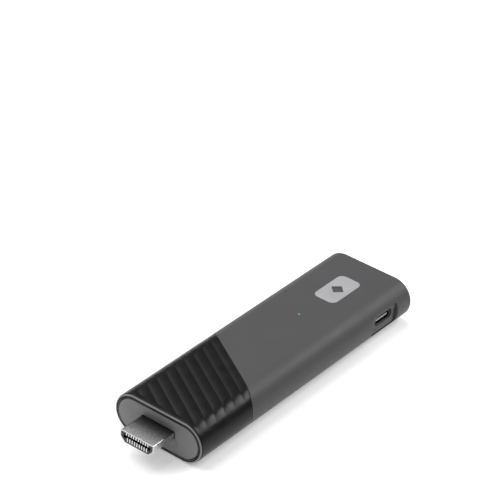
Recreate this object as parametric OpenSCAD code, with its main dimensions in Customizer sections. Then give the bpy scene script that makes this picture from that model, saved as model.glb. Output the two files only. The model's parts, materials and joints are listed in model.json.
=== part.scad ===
// Streaming media player in stick form: a round-sided housing tube with a ribbed front sleeve,
// an HDMI plug at one end, a USB-C power socket in a side pocket and the electronics inside.
// Origin: middle of the whole stick, on its underside. +X runs from the plug to the closed end.

/* [Housing] */
// Length of the housing, without the plug
body_l = 118.6; // [118:0.1:120]
// Width over the two rounded sides
body_w = 36.7; // [36.5:0.1:38]
// Height of the housing
body_h = 15.3; // [15.2:0.1:15.6]
// Wall thickness of the housing tube
wall = 1.6; // [1.5:0.1:1.7]
// Rounding of the closed end's edge
end_round = 1.0; // [0.6:0.1:1.4]

/* [Ribbed sleeve] */
// Where the sleeve's slanted joint crosses the centre line, from the front of the housing
joint_at = 38.1; // [36:0.1:40]
// Angle of the joint and of the ribs, away from straight across
skew = 31.8; // [28:0.1:34]
// Spacing of the ribs along the housing
rib_pitch = 4.78; // [4.2:0.01:5.4]
// Depth of the grooves between the ribs
rib_step = 0.25; // [0.1:0.05:0.35]
// Wall thickness of the sleeve
sleeve_wall = 1.3; // [1.2:0.05:1.35]

/* [Plug and socket] */
// How far the HDMI plug stands out of the housing
plug_out = 10.6; // [10:0.1:12]
// Width of the HDMI plug's shell
plug_w = 13.9; // [13.85:0.01:13.95]
// Height of the HDMI plug's shell
plug_h = 4.45; // [4.4:0.01:4.5]
// Centre of the USB-C socket, from the front of the housing
usb_at = 102.5; // [101.5:0.1:103]
// Height of the USB-C socket's centre above the underside
usb_z = 8.7; // [8.65:0.05:8.8]

/* [Trim] */
// Length of the badge plate along the housing
badge_l = 17.3; // [14:0.1:18]
// Width of the badge plate
badge_w = 9.3; // [8:0.1:11]
// Travel of the reset button
press = 0.25; // [0.2:0.01:0.3]

/* [Hidden] */
$fn = 96;

// Main stations along X, from the plug's tip to the closed end
x_tip = -(body_l + plug_out) / 2;
x_front = x_tip + plug_out;
x_back = x_front + body_l;
x_joint = x_front + joint_at;
x_usb = x_front + usb_at;
mid_z = body_h / 2;
side_y = body_w / 2;
axis_y = (body_w - body_h) / 2;
slant = tan(skew);

// Joint between housing and sleeve: a fine gap outside, and a spigot that runs on inside the sleeve
joint_gap = 0.15;
spigot_gap = 0.1;
spigot_wall = 1.0;
spigot_in = sleeve_wall + spigot_gap + spigot_wall;
spigot_l = 8;
spigot_root = 4;

// Ribs: the first groove lies a little in front of the joint
rib_first = 3.8;
rib_count = 9;
groove_w = 0.6;
groove_low = mid_z + 4;

// End plate
cap_gap = 0.35;
cap_in = sleeve_wall + cap_gap;
cap_t = 1.5;
collar_wall = 1.0;
collar_l = 3.0;
arm_l = 6;
arm_w = 3;
arm_t = 0.9;
arm_y = 8;
barb = 0.35;
barb_l = 1.1;

// Side opening around the USB-C socket, and the flat bezel that fills it
pocket_floor = side_y - 1.15;
pocket_l = 15.2;
pocket_low = 3.6;
pocket_h = 9;
pocket_z = pocket_low + pocket_h / 2;
pocket_top = 11.5;
pocket_round = 2.6;
bezel_gap = 0.45;
bezel_t = 0.8;
slot_l = 10.2;
slot_h = 3.9;
slot_z = usb_z + 0.1;
leg_t = 0.9;
leg_w = 1.2;
leg_low = 8.4;
hook_y = -(pocket_floor - bezel_t) + 0.05;
hook = bezel_gap + 0.3;
channel_h = 3.7;

// Board, centred on the plug
pcb_t = 1.0;
pcb_w = 30;
pcb_top = mid_z + pcb_t / 2;
pcb_bottom = mid_z - pcb_t / 2;
x_pcb0 = x_front + 6;
x_pcb1 = x_back - 3.1;

// HDMI plug
shell_t = 0.35;
plug_low_w = plug_w - 3.9;
plug_side_h = plug_h - 2.0;
x_plug_back = x_front + 5;
contact_pitch = 1.0;
contact_w = 0.42;
contact_t = 0.2;
contact_set = 0.2;
nose_l = 0.8;
nose_in = 0.3;
tongue_slot_w = 11.2;
tongue_slot_h = 1.5;
tongue_slot_z = mid_z + 0.35;
contact_tail = 1.8;

// USB-C socket, to the standard's own sizes
usb_w = 8.94;
usb_h = 3.26;
usb_t = 0.3;
usb_depth = 7.3;
usb_mouth = -(pocket_floor - 0.3);
usb_back = usb_mouth + usb_depth;
usb_tongue_w = 6.69;
usb_tongue_t = 0.7;
usb_tongue_set = 0.45;
usb_block_l = 1.8;
usb_pitch = 0.5;
usb_pins = 12;

// Carrier under the board
tray_bottom = 2.9;
tray_t = 1.0;
tray_w = 24;
rail_w = 1.6;
rail_y = 11.2;
x_tray0 = x_front + 8;
x_tray1 = x_back - 5;
film_t = 0.1;
screw_x = [x_front + 14, x_front + 74];
screw_r = 0.6;
head_r = 1.4;
head_t = 0.7;
screw_l = 3.2;
boss_r = 1.8;
pilot_r = 0.65;
pass_r = 0.8;

// Shielded area and what stands on the board
x_can0 = x_front + 34;
x_can1 = x_front + 67;
can_w = 21;
can_t = 0.2;
soc_size = 14;
soc_t = 1.1;
x_soc = x_can0 + 9.5;
pad_t = 0.5;
pad_size = 12;
lid_z = pcb_top + soc_t + pad_t;
lid_pad_t = 0.8;
spreader_t = 1.2;
spreader_z = lid_z + can_t + lid_pad_t;
spreader_l = 38;
spreader_w = 20;
package_black = [0.12, 0.12, 0.13];
ram_size = [12, 8, 0.9];
flash_size = [13, 11.5, 0.9];
power_size = [5, 5, 0.8];
radio_size = [12, 12, 1.6];
x_radio = x_front + 97.5;
y_radio = 6;
crystal_size = [3.2, 2.5, 0.7];
coil_size = 4;
coil_h = 1.8;
cap_size = [1.6, 0.8, 0.8];
res_size = [1.0, 0.6, 0.35];
row_pitch = 3.4;
row_start = 1.5;

// Status light
x_led = x_front + 75.7;
y_led = 0.2;
led_t = 0.6;
pipe_tip_r = 0.45;
pipe_r = 1.0;
pipe_flange_r = 1.5;
pipe_flange_t = 0.5;
pipe_gap = 0.05;

// Badge, set into the top
x_badge = x_front + 97.45;
y_badge = -0.35;
badge_t = 0.4;
badge_deep = 0.4;
badge_gap = 0.08;
badge_round = 2.4;
mark_r = 2.6;

// Label, set into the underside
label_l = 34;
label_w = 16;
label_t = 0.12;
label_deep = 0.2;
label_round = 1.5;
x_label = x_front + 84;

// Reset button and its switch, on the side away from the socket
x_btn = x_front + 87;
btn_l = 5.2;
btn_h = 2.2;
btn_gap = 0.12;
btn_face = side_y - 0.06;
switch_t = 1.65;
btn_z = pcb_top + switch_t / 2;
flange_l = 6.6;
flange_h = 3.4;
flange_t = 0.55;
flange_seat = side_y - 1.9;
touch = 0.02;
switch_l = 4.7;
switch_depth = 3.5;
y_switch = pcb_w / 2;
cover_t = 0.15;
plunger_l = 1.6;
plunger_h = 0.9;
plunger_out = flange_seat - 0.05 - flange_t - touch - y_switch;
plunger_in = 0.9;

// ---- helpers ----

// A box from its low and high limits on each axis
module block(x, y, z) {
    translate([x[0], y[0], z[0]])
    cube([x[1] - x[0], y[1] - y[0], z[1] - z[0]]);
}

// A box by its centre in plan, its plan size and its limits in height
module chip(x, y, l, w, z) {
    block([x - l / 2, x + l / 2], [y - w / 2, y + w / 2], z);
}

// Runs a section drawn in the YZ plane from x0 to x1
module along_x(x0, x1) {
    translate([x0, 0, 0])
    rotate([90, 0, 90])
    linear_extrude(height = x1 - x0)
    children();
}

// Runs a section drawn in the XZ plane from y0 to y1
module along_y(y0, y1) {
    translate([0, y1, 0])
    rotate([90, 0, 0])
    linear_extrude(height = y1 - y0)
    children();
}

// A slot outline with full-round ends, centred
module slot(l, h) {
    square([l - h, h], center = true);
    for (end = [-1, 1])
        translate([end * (l - h) / 2, 0])
        circle(d = h);
}

// The housing's section pulled in by the given amount all round
module section(inset) {
    translate([0, mid_z])
    slot(body_w - 2 * inset, body_h - 2 * inset);
}

// A rectangle with rounded corners, centred
module rounded(l, w, r) {
    square([l - 2 * r, w], center = true);
    square([l, w - 2 * r], center = true);
    for (sx = [-1, 1], sy = [-1, 1])
        translate([sx * (l / 2 - r), sy * (w / 2 - r)])
        circle(r = r);
}

// A slanted slice of the housing, between two distances from the joint plane
module slanted_slice(from_joint, to_joint) {
    reach = side_y + 1;
    lean = slant * reach;
    translate([x_joint, 0, -1])
    linear_extrude(height = body_h + 2)
    polygon([
        [from_joint - lean, -reach],
        [to_joint - lean, -reach],
        [to_joint + lean, reach],
        [from_joint + lean, reach]
    ]);
}

// The whole outside, with the closed end's edge rounded
module outside(x0, x1) {
    l = x1 - x0;
    r = body_h / 2;
    translate([x0, 0, 0])
    rotate([90, 0, 0])
    linear_extrude(height = 2 * axis_y, center = true) {
        square([l - end_round, body_h]);
        translate([0, end_round])
        square([l, body_h - 2 * end_round]);
        for (z = [end_round, body_h - end_round])
            translate([l - end_round, z])
            circle(r = end_round);
    }
    for (side = [-1, 1])
        translate([x0, side * axis_y, mid_z])
        rotate([0, 90, 0])
        rotate_extrude() {
            square([r, l - end_round]);
            square([r - end_round, l]);
            translate([r - end_round, l - end_round])
            circle(r = end_round);
        }
}

// The HDMI plug's section, wide side up, pulled in by the given amount
module plug_section(inset) {
    top = mid_z + plug_h / 2 - inset;
    low = mid_z - plug_h / 2 + inset;
    knee = mid_z + plug_h / 2 - plug_side_h;
    half = plug_w / 2 - inset;
    low_half = plug_low_w / 2 - inset * 0.4;
    polygon([
        [-half, top],
        [-half, knee + inset * 0.4],
        [-low_half, low],
        [low_half, low],
        [half, knee + inset * 0.4],
        [half, top]
    ]);
}

// ---- outside pieces ----

module rear_housing() {
    cavity_end = x_back - wall;
    rib_y = 8;
    rib_w = 1;
    color([0.33, 0.33, 0.34])
    difference() {
        union() {
            difference() {
                outside(x_front, x_back);
                slanted_slice(-body_l, 0);
                along_x(x_front, cavity_end) section(wall);
            }
            intersection() {
                difference() {
                    along_x(x_front, cavity_end) section(sleeve_wall + spigot_gap);
                    along_x(x_front - 1, cavity_end + 1) section(spigot_in);
                }
                slanted_slice(-spigot_l, spigot_root);
            }
            for (side = [-1, 1])
                block([x_joint + 18, cavity_end + 0.5],
                      [side * rib_y - rib_w / 2, side * rib_y + rib_w / 2],
                      [wall - 0.5, tray_bottom]);
        }
        port_cuts();
        button_cuts();
        top_cuts();
        translate([x_label, 0, -1])
        linear_extrude(height = 1 + label_deep)
        rounded(label_l, label_w, label_round);
    }
}

// Opening for the USB-C socket, and the channel it passes along when the board slides in
module port_cuts() {
    port_prism(-side_y - 1, -axis_y - 2, 0, pocket_top);
    block([x_front - 1, x_usb],
          [usb_mouth - 0.05, -axis_y],
          [usb_z - channel_h / 2, usb_z + channel_h / 2]);
}

// The opening's shape pulled in all round, cut off level where the flat bezel meets the rounded side
module port_prism(y0, y1, inset, top) {
    intersection() {
        along_y(y0, y1)
        translate([x_usb, pocket_z])
        rounded(pocket_l - 2 * inset, pocket_h - 2 * inset, pocket_round - inset);
        block([x_usb - pocket_l, x_usb + pocket_l], [y0 - 1, y1 + 1], [0, top]);
    }
}

// Hole and inner seat for the reset button
module button_cuts() {
    translate([0, side_y + 1, 0])
    along_y(-6, 0)
    translate([x_btn, btn_z])
    slot(btn_l + 2 * btn_gap, btn_h + 2 * btn_gap);
    block([x_btn - flange_l / 2 - 0.3, x_btn + flange_l / 2 + 0.3],
          [axis_y, flange_seat],
          [btn_z - flange_h / 2 - 0.2, btn_z + flange_h / 2 + 0.2]);
}

// Hole for the light pipe and recess for the badge
module top_cuts() {
    translate([x_led, y_led, mid_z])
    cylinder(r = pipe_tip_r + pipe_gap, h = body_h);
    translate([x_badge, y_badge, body_h - badge_deep])
    linear_extrude(height = 1)
    rounded(badge_l + 2 * badge_gap, badge_w + 2 * badge_gap, badge_round + badge_gap);
}

module ribbed_sleeve() {
    color([0.13, 0.13, 0.14])
    difference() {
        along_x(x_front, x_joint + side_y) section(0);
        slanted_slice(-joint_gap, body_l);
        along_x(x_front - 1, x_joint + side_y + 1) section(sleeve_wall);
        rib_grooves();
        // Catches for the front cap's snap arms
        for (side = [-1, 1], up = [-1, 1])
            translate([x_front + cap_t + arm_l - barb_l, side * arm_y, mid_z + up * (mid_z - cap_in)])
            cube([1.6, arm_w + 0.4, 2 * (barb + cap_gap - 0.1)], center = true);
    }
}

// Grooves that part the ribs, over the top and down to the shoulders on each side
module rib_grooves() {
    difference() {
        intersection() {
            union() {
                for (i = [0 : rib_count - 1])
                    slanted_slice(-rib_first - i * rib_pitch - groove_w / 2,
                                  -rib_first - i * rib_pitch + groove_w / 2);
            }
            block([x_front - 1, x_joint + side_y], [-side_y - 1, side_y + 1], [groove_low, body_h + 1]);
        }
        along_x(x_front - 2, x_joint + side_y + 1) section(rib_step);
    }
}

module front_cap() {
    collar_w = plug_w + 2 * collar_wall + 0.4;
    collar_h = plug_h + 2 * collar_wall + 0.4;
    color([0.42, 0.42, 0.43])
    difference() {
        union() {
            along_x(x_front, x_front + cap_t) section(cap_in);
            block([x_front + cap_t / 2, x_front + cap_t + collar_l],
                  [-collar_w / 2, collar_w / 2],
                  [mid_z - collar_h / 2, mid_z + collar_h / 2]);
            for (side = [-1, 1], up = [-1, 1])
                translate([x_front + cap_t, side * arm_y, mid_z])
                snap_arm(up, mid_z - cap_in);
        }
        along_x(x_front - 1, x_plug_back + 1)
        plug_section(-0.1);
    }
}

// One snap arm of the front cap, with its barb on the outside
module snap_arm(up, z) {
    scale([1, 1, up])
    rotate([90, 0, 0])
    linear_extrude(height = arm_w, center = true)
    polygon([
        [-cap_t / 2, z - arm_t],
        [-cap_t / 2, z],
        [arm_l - barb_l - 0.6, z],
        [arm_l - barb_l - 0.6, z + barb],
        [arm_l - barb_l, z + barb],
        [arm_l, z - 0.2],
        [arm_l, z - arm_t]
    ]);
}

// Flat bezel around the USB-C socket, with a leg hooked behind the opening at each end
module port_bezel() {
    color([0.33, 0.33, 0.34])
    difference() {
        union() {
            port_prism(-pocket_floor, -(pocket_floor - bezel_t), bezel_gap, pocket_top - 0.05);
            for (end = [-1, 1])
                translate([x_usb, 0, leg_low])
                scale([end, 1, 1])
                linear_extrude(height = leg_w)
                bezel_leg(pocket_l / 2 - bezel_gap);
        }
        along_y(-side_y, -axis_y)
        translate([x_usb, slot_z])
        slot(slot_l, slot_h);
    }
}

// Outline of one leg, from the bezel's plate to the point of its hook
module bezel_leg(reach) {
    polygon([
        [reach - leg_t, -(pocket_floor - bezel_t / 2)],
        [reach, -(pocket_floor - bezel_t / 2)],
        [reach, hook_y],
        [reach + hook, hook_y],
        [reach, hook_y + 0.95],
        [reach - leg_t, hook_y + 0.95]
    ]);
}

module badge_plate() {
    color([0.72, 0.72, 0.73])
    translate([x_badge, y_badge, body_h - badge_deep])
    linear_extrude(height = badge_t)
    difference() {
        rounded(badge_l, badge_w, badge_round);
        circle(r = mark_r, $fn = 4);
    }
}

module light_pipe() {
    flange_top = body_h - wall;
    color([0.45, 0.75, 0.5])
    translate([x_led, y_led, 0]) {
        translate([0, 0, flange_top - 0.3])
        cylinder(r = pipe_tip_r, h = wall + 0.3);
        translate([0, 0, flange_top - pipe_flange_t])
        cylinder(r = pipe_flange_r, h = pipe_flange_t);
        translate([0, 0, pcb_top + led_t + 0.2])
        cylinder(r = pipe_r, h = flange_top - pcb_top - led_t - 0.4);
    }
}

module reset_button() {
    color([0.2, 0.2, 0.21]) {
        along_y(flange_seat - 0.05 - flange_t / 2, btn_face)
        translate([x_btn, btn_z])
        slot(btn_l, btn_h);
        along_y(flange_seat - 0.05 - flange_t, flange_seat - 0.05)
        translate([x_btn, btn_z])
        slot(flange_l, flange_h);
    }
}

module rating_label() {
    color([0.75, 0.75, 0.76])
    translate([x_label, 0, label_deep - label_t])
    linear_extrude(height = label_t)
    rounded(label_l - 0.4, label_w - 0.4, label_round - 0.2);
}

// ---- structure inside ----

module board_carrier() {
    rail_top = pcb_bottom - film_t;
    hdmi_clear = x_front + 10.5;
    color([0.2, 0.2, 0.2])
    difference() {
        union() {
            block([x_tray0, x_tray1], [-tray_w / 2, tray_w / 2], [tray_bottom, tray_bottom + tray_t]);
            for (side = [-1, 1])
                block([x_tray0, x_tray1],
                      [side * rail_y - rail_w / 2, side * rail_y + rail_w / 2],
                      [tray_bottom + tray_t / 2, rail_top]);
            block([hdmi_clear, hdmi_clear + rail_w], [-rail_y, rail_y], [tray_bottom + tray_t / 2, rail_top]);
            for (x = screw_x, side = [-1, 1])
                translate([x, side * rail_y, tray_bottom + tray_t / 2])
                cylinder(r = boss_r, h = rail_top - tray_bottom - tray_t / 2);
        }
        for (x = screw_x, side = [-1, 1])
            translate([x, side * rail_y, tray_bottom + tray_t])
            cylinder(r = pilot_r, h = body_h);
        // Lightening windows in the floor
        for (i = [0 : 3])
            translate([x_tray0 + 17 + 22 * i, 0, tray_bottom - 1])
            linear_extrude(height = 3)
            rounded(16, 14, 2);
    }
}

module carrier_screws() {
    color([0.6, 0.6, 0.6])
    for (x = screw_x, side = [-1, 1])
        translate([x, side * rail_y, pcb_top])
        difference() {
            union() {
                translate([0, 0, -screw_l])
                cylinder(r = screw_r, h = screw_l + head_t / 2);
                cylinder(r = head_r, h = head_t);
            }
            for (turn = [0, 90])
                rotate([0, 0, turn])
                translate([-0.8, -0.15, head_t - 0.35])
                cube([1.6, 0.3, 1]);
        }
}

module insulation_film() {
    color([0.85, 0.7, 0.25])
    difference() {
        block([x_tray0 + 1, x_tray1], [-tray_w / 2 - 0.8, tray_w / 2 + 0.8],
              [pcb_bottom - film_t, pcb_bottom]);
        for (x = screw_x, side = [-1, 1])
            translate([x, side * rail_y, 0])
            cylinder(r = pass_r, h = body_h);
        usb_notch(0.6);
    }
}

// Room in the board for the sunk USB-C socket
module usb_notch(grow) {
    block([x_usb - usb_w / 2 - 0.15 - grow, x_usb + usb_w / 2 + 0.15 + grow],
          [-pcb_w, usb_back + 0.2 + grow],
          [0, body_h]);
}

// ---- electronics ----

module main_pcb() {
    color([0.05, 0.3, 0.18])
    difference() {
        block([x_pcb0, x_pcb1], [-pcb_w / 2, pcb_w / 2], [pcb_bottom, pcb_top]);
        for (x = screw_x, side = [-1, 1])
            translate([x, side * rail_y, 0])
            cylinder(r = pass_r, h = body_h);
        usb_notch(0);
        // Snapped-off corners at the closed end
        for (side = [-1, 1])
            translate([x_pcb1, side * pcb_w / 2, mid_z])
            rotate([0, 0, 45])
            cube([3.4, 3.4, 4], center = true);
    }
}

// A ball-grid package: thin substrate with a smaller moulded top and a pin-one dimple
module bga(x, y, l, w, t) {
    difference() {
        union() {
            chip(x, y, l, w, [pcb_top, pcb_top + t * 0.35]);
            chip(x, y, l - 0.5, w - 0.5, [pcb_top + t * 0.3, pcb_top + t]);
        }
        translate([x - l / 2 + 1.2, y - w / 2 + 1.2, pcb_top + t - 0.08])
        cylinder(r = 0.35, h = 1);
    }
}

module soc_chip() {
    color(package_black)
    bga(x_soc, 0, soc_size, soc_size, soc_t);
}

module ram_chips() {
    color(package_black)
    for (side = [-1, 1])
        bga(x_can0 + 24.5, side * 4.6, ram_size[0], ram_size[1], ram_size[2]);
}

module flash_chip() {
    color(package_black)
    bga(x_front + 24, -5, flash_size[0], flash_size[1], flash_size[2]);
}

module power_chip() {
    color(package_black)
    bga(x_front + 90, -2.5, power_size[0], power_size[1], power_size[2]);
}

// Radio module: a small board of its own under a soldered can
module wifi_module() {
    base_t = 0.5;
    margin = 1;
    color([0.7, 0.7, 0.68]) {
        chip(x_radio, y_radio, radio_size[0], radio_size[1], [pcb_top, pcb_top + base_t]);
        chip(x_radio, y_radio, radio_size[0] - margin, radio_size[1] - margin,
             [pcb_top + base_t / 2, pcb_top + radio_size[2]]);
    }
}

module shield_frame() {
    foot_z = [pcb_top, lid_z];
    color([0.65, 0.65, 0.63])
    difference() {
        block([x_can0, x_can1], [-can_w / 2, can_w / 2], foot_z);
        block([x_can0 + can_t, x_can1 - can_t],
              [-can_w / 2 + can_t, can_w / 2 - can_t],
              [0, body_h]);
    }
}

module shield_lid() {
    skirt = 0.9;
    color([0.75, 0.75, 0.73])
    difference() {
        block([x_can0 - can_t - 0.03, x_can1 + can_t + 0.03],
              [-can_w / 2 - can_t - 0.03, can_w / 2 + can_t + 0.03],
              [lid_z - skirt, lid_z + can_t]);
        block([x_can0 - 0.03, x_can1 + 0.03],
              [-can_w / 2 - 0.03, can_w / 2 + 0.03],
              [0, lid_z]);
    }
}

module soc_thermal_pad() {
    color([0.55, 0.65, 0.8])
    chip(x_soc, 0, pad_size, pad_size, [pcb_top + soc_t, lid_z]);
}

module lid_thermal_pad() {
    color([0.55, 0.65, 0.8])
    chip((x_can0 + x_can1) / 2, 0, spreader_l - pad_size, spreader_w - 4, [lid_z + can_t, spreader_z]);
}

module heat_spreader() {
    groove_w = 0.8;
    groove_deep = 0.5;
    groove_pitch = 2.4;
    color([0.8, 0.8, 0.82])
    difference() {
        translate([(x_can0 + x_can1) / 2, 0, spreader_z])
        linear_extrude(height = spreader_t)
        rounded(spreader_l, spreader_w, 2);
        // Grooves that add surface to the upper side
        for (i = [-3 : 3])
            block([x_can0 + 1, x_can1 - 1],
                  [i * groove_pitch - groove_w / 2, i * groove_pitch + groove_w / 2],
                  [spreader_z + spreader_t - groove_deep, body_h]);
    }
}

module crystals() {
    color([0.78, 0.78, 0.76])
    for (at = [[31.5, 6.5], [86, 5.5]])
        chip(x_front + at[0], at[1], crystal_size[0], crystal_size[1],
             [pcb_top, pcb_top + crystal_size[2]]);
}

// Power inductors: square ferrite blocks with a round dish on top
module inductors() {
    dish_r = 1.2;
    dish_deep = 0.2;
    color([0.3, 0.3, 0.32])
    for (x = [79, 84], y = [-7, -11.8])
        translate([x_front + x, y, pcb_top])
        difference() {
            linear_extrude(height = coil_h)
            rounded(coil_size, coil_size, 0.6);
            translate([0, 0, coil_h - dish_deep])
            cylinder(r = dish_r, h = 1);
        }
}

module capacitors() {
    color([0.6, 0.47, 0.33]) {
        for (i = [0 : 5], side = [-1, 1])
            chip(x_front + 10 + row_pitch * i, side * 13.2, cap_size[0], cap_size[1],
                 [pcb_top, pcb_top + cap_size[2]]);
        for (i = [0 : 8])
            chip(x_can0 + row_start + row_pitch * i, -13, cap_size[0], cap_size[1],
                 [pcb_top, pcb_top + cap_size[2]]);
    }
}

module resistors() {
    color([0.15, 0.15, 0.16]) {
        for (i = [0 : 7])
            chip(x_front + 17.5 + row_pitch / 2 * i, 9, res_size[1], res_size[0],
                 [pcb_top, pcb_top + res_size[2]]);
        for (i = [0 : 8])
            chip(x_can0 + row_start + row_pitch * i, 13, res_size[0], res_size[1],
                 [pcb_top, pcb_top + res_size[2]]);
    }
}

// Two bent-metal antennas at the closed end, one for each radio band
module antennas() {
    top = pcb_top + 3.2;
    strip = 0.25;
    plate_l = 5;
    plate_w = 4;
    leg_w = 1.2;
    x0 = x_front + 108.5;
    color([0.82, 0.72, 0.45])
    for (side = [-1, 1])
        translate([x0, side * 9, 0]) {
            block([0, plate_l], [-plate_w / 2, plate_w / 2], [top - strip, top]);
            for (edge = [-1, 1])
                translate([0, edge * (plate_w - leg_w) / 2, 0])
                block([0, strip], [-leg_w / 2, leg_w / 2], [pcb_top, top - strip / 2]);
        }
}

module status_led() {
    color([0.75, 0.9, 0.75])
    chip(x_led, y_led, 1.6, 0.8, [pcb_top, pcb_top + led_t]);
}

// ---- HDMI plug ----

module hdmi_plug_shell() {
    tab_l = 2.6;
    color([0.78, 0.78, 0.79]) {
        difference() {
            along_x(x_tip, x_plug_back) plug_section(0);
            along_x(x_tip - 1, x_plug_back + 1) plug_section(shell_t);
        }
        // Soldered tabs that lie on the board
        for (side = [-1, 1])
            block([x_plug_back - 0.4, x_pcb0 + tab_l],
                  [side * (plug_w / 2 - shell_t / 2) - shell_t / 2,
                   side * (plug_w / 2 - shell_t / 2) + shell_t / 2],
                  [pcb_top, mid_z + plug_h / 2 - 0.2]);
    }
}

module hdmi_insulator() {
    set_back = 0.1;
    color([0.1, 0.1, 0.11])
    difference() {
        along_x(x_tip + set_back, x_plug_back + 0.4) plug_section(shell_t + 0.02);
        // Mouth that takes the socket's tongue
        block([x_tip - 1, x_plug_back - 3],
              [-tongue_slot_w / 2, tongue_slot_w / 2],
              [tongue_slot_z - tongue_slot_h / 2, tongue_slot_z + tongue_slot_h / 2]);
        contact_channels();
    }
}

// Grooves above and below the mouth, one for each contact, right through to the board
module contact_channels() {
    for (i = [0 : 9])
        contact_channel((i - 4.5) * contact_pitch, 1);
    for (i = [0 : 8])
        contact_channel((i - 4) * contact_pitch, -1);
}

module contact_channel(y, up) {
    deep = channel_deep(up);
    near = tongue_slot_h / 2 - 0.01;
    z0 = tongue_slot_z + up * near;
    z1 = tongue_slot_z + up * (near + deep);
    block([x_tip - 1, x_pcb0 + 1],
          [y - contact_w / 2 - 0.04, y + contact_w / 2 + 0.04],
          [min(z0, z1), max(z0, z1)]);
}

// Depth of the grooves behind the mouth's wall: less above, where the insulator is thinner
function channel_deep(up) = up > 0 ? 0.7 : 1.3;

module hdmi_contacts() {
    color([0.75, 0.75, 0.75]) {
        for (i = [0 : 9])
            contact((i - 4.5) * contact_pitch, 1);
        for (i = [0 : 8])
            contact((i - 4) * contact_pitch, -1);
    }
}

// One contact: a nose that stands into the mouth, and a beam cranked down or up to its pad on the board
module contact(y, up) {
    beam = tongue_slot_z + up * (tongue_slot_h / 2 + 0.15);
    near = tongue_slot_z + up * (tongue_slot_h / 2 - nose_in);
    far = tongue_slot_z + up * (tongue_slot_h / 2 + channel_deep(up) - 0.08);
    pad = up > 0 ? pcb_top : pcb_bottom;
    x_nose = x_tip + contact_set;
    x_neck = x_nose + nose_l;
    x_bend = x_plug_back + 0.5;
    along_y(y - contact_w / 2, y + contact_w / 2)
    polygon([
        [x_nose, near],
        [x_neck, near],
        [x_neck + 0.3, beam],
        [x_bend + up * 0.05, beam],
        [x_bend + 0.3, pad],
        [x_pcb0 + contact_tail, pad],
        [x_pcb0 + contact_tail, pad + up * contact_t],
        [x_bend + 0.55, pad + up * contact_t],
        [x_bend + 0.25, beam + up * contact_t],
        [x_neck + 0.3, beam + up * contact_t],
        [x_neck, far],
        [x_nose, far]
    ]);
}

// ---- USB-C socket ----

module usb_shell() {
    wing = 1.0;
    color([0.7, 0.7, 0.7]) {
        difference() {
            along_y(usb_mouth, usb_back)
            translate([x_usb, usb_z])
            slot(usb_w, usb_h);
            along_y(usb_mouth - 1, usb_back + 1)
            translate([x_usb, usb_z])
            slot(usb_w - 2 * usb_t, usb_h - 2 * usb_t);
        }
        // Wings soldered to the board on each side of its notch
        for (side = [-1, 1], y = [usb_mouth + 2.4, usb_back - 1.6])
            block([x_usb + side * (usb_w / 2 + wing / 2 - 0.2) - wing / 2,
                   x_usb + side * (usb_w / 2 + wing / 2 - 0.2) + wing / 2],
                  [y, y + 1.2],
                  [pcb_top, pcb_top + usb_t]);
    }
}

module usb_tongue() {
    color([0.1, 0.1, 0.11]) {
        along_y(usb_back - usb_block_l, usb_back)
        translate([x_usb, usb_z])
        slot(usb_w - 2 * usb_t - 0.04, usb_h - 2 * usb_t - 0.04);
        block([x_usb - usb_tongue_w / 2, x_usb + usb_tongue_w / 2],
              [usb_mouth + usb_tongue_set, usb_back - usb_block_l / 2],
              [usb_z - usb_tongue_t / 2, usb_z + usb_tongue_t / 2]);
    }
}

module usb_contacts() {
    strip_w = 0.25;
    strip_t = 0.08;
    color([0.85, 0.72, 0.4])
    for (i = [0 : usb_pins - 1], up = [-1, 1])
        chip(x_usb + (i - (usb_pins - 1) / 2) * usb_pitch,
             (usb_mouth + usb_tongue_set + usb_back - usb_block_l) / 2,
             strip_w,
             usb_depth - usb_tongue_set - usb_block_l - 0.8,
             [usb_z + up * (usb_tongue_t + strip_t) / 2 - strip_t / 2,
              usb_z + up * (usb_tongue_t + strip_t) / 2 + strip_t / 2]);
}

// ---- reset switch ----

module switch_body() {
    color([0.12, 0.12, 0.12])
    difference() {
        block([x_btn - switch_l / 2, x_btn + switch_l / 2],
              [y_switch - switch_depth, y_switch],
              [pcb_top, pcb_top + switch_t - cover_t]);
        block([x_btn - plunger_l / 2 - 0.06, x_btn + plunger_l / 2 + 0.06],
              [y_switch - plunger_in - press - 0.15, y_switch + 1],
              [btn_z - plunger_h / 2 - 0.06, btn_z + plunger_h / 2 + 0.06]);
    }
}

module switch_cover() {
    color([0.72, 0.72, 0.72])
    difference() {
        block([x_btn - switch_l / 2 - cover_t, x_btn + switch_l / 2 + cover_t],
              [y_switch - switch_depth, y_switch - 0.3],
              [pcb_top + 0.3, pcb_top + switch_t]);
        block([x_btn - switch_l / 2, x_btn + switch_l / 2],
              [0, pcb_w],
              [0, pcb_top + switch_t - cover_t]);
    }
}

module switch_plunger() {
    color([0.85, 0.82, 0.75])
    block([x_btn - plunger_l / 2, x_btn + plunger_l / 2],
          [y_switch - plunger_in, y_switch + plunger_out],
          [btn_z - plunger_h / 2, btn_z + plunger_h / 2]);
}

rear_housing();
ribbed_sleeve();
front_cap();
badge_plate();
light_pipe();
reset_button();
rating_label();
board_carrier();
carrier_screws();
insulation_film();
main_pcb();
soc_chip();
ram_chips();
flash_chip();
power_chip();
wifi_module();
shield_frame();
shield_lid();
soc_thermal_pad();
lid_thermal_pad();
heat_spreader();
crystals();
inductors();
capacitors();
resistors();
antennas();
status_led();
hdmi_plug_shell();
hdmi_insulator();
hdmi_contacts();
usb_shell();
usb_tongue();
usb_contacts();
switch_body();
switch_cover();
switch_plunger();
port_bezel();
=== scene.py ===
"""Looks for the streaming stick: visible mouldings rebuilt with true edges, and a material on every piece."""
import json
import math

import bmesh
import bpy
from mathutils import Matrix, Vector


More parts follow.
